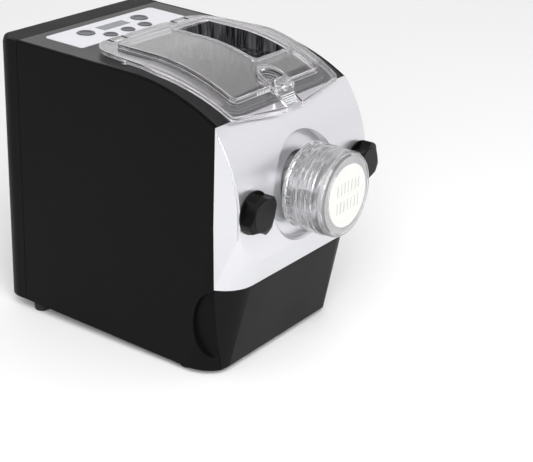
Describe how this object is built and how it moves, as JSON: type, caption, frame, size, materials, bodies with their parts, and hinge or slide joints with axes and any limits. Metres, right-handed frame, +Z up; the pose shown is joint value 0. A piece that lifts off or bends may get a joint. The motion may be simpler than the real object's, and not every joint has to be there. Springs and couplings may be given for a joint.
{
  "type": "electric pasta maker",
  "caption": "Table-top extruder that mixes dough in a chamber under a clear hinged lid and presses it out through a die; geared motor, storage drawer below.",
  "frame": {"origin": "centre of the bounding box's underside, on the surface the feet stand on", "axes": "+Z up, -Y towards the nozzle end, +X to the right seen from the nozzle end"},
  "size_m": [0.206, 0.33, 0.2814],
  "materials": {
    "body_black": "moulded ABS, fine satin texture",
    "deck_grey": "moulded ABS, dark warm grey, satin",
    "front_silver": "silver painted plastic, satin",
    "drawer_black": "moulded ABS, soft sheen",
    "clear_plastic": "clear polycarbonate, polished",
    "white_plastic": "white acetal, smooth",
    "button_grey": "metallic grey paint",
    "display_grey": "tinted display window",
    "sheet_steel": "zinc plated sheet and turned steel",
    "brass": "turned brass",
    "rubber": "black rubber",
    "board_green": "printed circuit board"
  },
  "bodies": {
    "housing": {"base_plate": "body_black", "side_panel_left": "body_black", "side_panel_right": "body_black", "top_cover": "deck_grey", "rear_cover": "body_black", "front_fascia": "front_silver", "chassis_frame": "sheet_steel", "front_frame": "sheet_steel", "rear_bulkhead": "sheet_steel", "feet": "rubber", "case_screws": "sheet_steel", "mixing_chamber": "clear_plastic", "extrusion_barrel": "clear_plastic", "barrel_seal": "rubber", "shaping_die": "white_plastic", "shaft_bushes": "brass", "shaft_seal": "rubber", "gearbox_housing": "body_black", "gearbox_cover": "body_black", "intermediate_axle": "sheet_steel", "motor_can": "sheet_steel", "fascia_studs": "sheet_steel", "lid_hinge_pins": "sheet_steel", "reed_switch": "white_plastic", "control_plate": "front_silver", "display_window": "display_grey", "control_board": "board_green", "power_board": "board_green", "power_inlet": "body_black", "inlet_pins": "sheet_steel", "drawer_rails": "sheet_steel"},
    "lid": {"lid": "clear_plastic", "feed_chute": "deck_grey", "lid_magnet": "sheet_steel", "latch_pin": "sheet_steel", "latch_spring": "sheet_steel"},
    "latch": {"lid_latch": "clear_plastic"},
    "knob_left": {"knob_left": "body_black", "knob_insert_left": "brass"},
    "knob_right": {"knob_right": "body_black", "knob_insert_right": "brass"},
    "ring_nut": {"die_nut": "clear_plastic"},
    "drawer": {"drawer_tray": "body_black", "drawer_front": "drawer_black", "spare_dies": "white_plastic"},
    "drive": {"drive_shaft": "sheet_steel", "output_gear": "white_plastic", "mixing_paddle": "white_plastic", "extruder_screw": "white_plastic"},
    "intermediate": {"intermediate_gear": "white_plastic"},
    "motor": {"motor_rotor": "sheet_steel", "motor_pinion": "brass", "motor_fan": "body_black"},
    "large_button_left": {"large_button_left": "button_grey"},
    "large_button_right": {"large_button_right": "button_grey"},
    "small_button_left": {"small_button_left": "button_grey"},
    "small_button_middle": {"small_button_middle": "button_grey"},
    "small_button_right": {"small_button_right": "button_grey"}
  },
  "joints": [
    {"name": "lid_hinge", "type": "hinge", "parent": "housing", "child": "lid", "pos_m": [0, 0.0648, 0.27466], "axis": [-1, 0, 0], "range_deg": [0, 90]},
    {"name": "latch_hinge", "type": "hinge", "parent": "lid", "child": "latch", "pos_m": [0, -0.091, 0.2515], "axis": [-1, 0, 0], "range_deg": [0, 25], "stiffness_Nm_per_rad": 0.02},
    {"name": "knob_left_turn", "type": "hinge", "parent": "housing", "child": "knob_left", "pos_m": [-0.0834, -0.128, 0.1671], "axis": [0, -1, 0], "continuous": true},
    {"name": "knob_right_turn", "type": "hinge", "parent": "housing", "child": "knob_right", "pos_m": [0.0834, -0.128, 0.1671], "axis": [0, -1, 0], "continuous": true},
    {"name": "ring_nut_turn", "type": "hinge", "parent": "housing", "child": "ring_nut", "pos_m": [0, -0.143, 0.168], "axis": [0, -1, 0], "continuous": true},
    {"name": "drawer_slide", "type": "slide", "parent": "housing", "child": "drawer", "axis": [0, -1, 0], "range_m": [0, 0.12]},
    {"name": "drive_turn", "type": "hinge", "parent": "housing", "child": "drive", "pos_m": [0, 0.007, 0.168], "axis": [0, 1, 0], "continuous": true},
    {"name": "intermediate_turn", "type": "hinge", "parent": "housing", "child": "intermediate", "pos_m": [0.036, 0.067, 0.141], "axis": [0, 1, 0], "continuous": true},
    {"name": "motor_turn", "type": "hinge", "parent": "housing", "child": "motor", "pos_m": [0, 0.107, 0.1305], "axis": [0, 1, 0], "continuous": true},
    {"name": "large_button_left_press", "type": "slide", "parent": "housing", "child": "large_button_left", "axis": [0, 0, -1], "range_m": [0, 0.001], "stiffness_N_per_m": 900},
    {"name": "large_button_right_press", "type": "slide", "parent": "housing", "child": "large_button_right", "axis": [0, 0, -1], "range_m": [0, 0.001], "stiffness_N_per_m": 900},
    {"name": "small_button_left_press", "type": "slide", "parent": "housing", "child": "small_button_left", "axis": [0, 0, -1], "range_m": [0, 0.001], "stiffness_N_per_m": 900},
    {"name": "small_button_middle_press", "type": "slide", "parent": "housing", "child": "small_button_middle", "axis": [0, 0, -1], "range_m": [0, 0.001], "stiffness_N_per_m": 900},
    {"name": "small_button_right_press", "type": "slide", "parent": "housing", "child": "small_button_right", "axis": [0, 0, -1], "range_m": [0, 0.001], "stiffness_N_per_m": 900}
  ],
  "couplings": [
    {"joint": "intermediate_turn", "follows": "drive_turn", "ratio": -4.1429},
    {"joint": "motor_turn", "follows": "drive_turn", "ratio": 16.571}
  ]
}
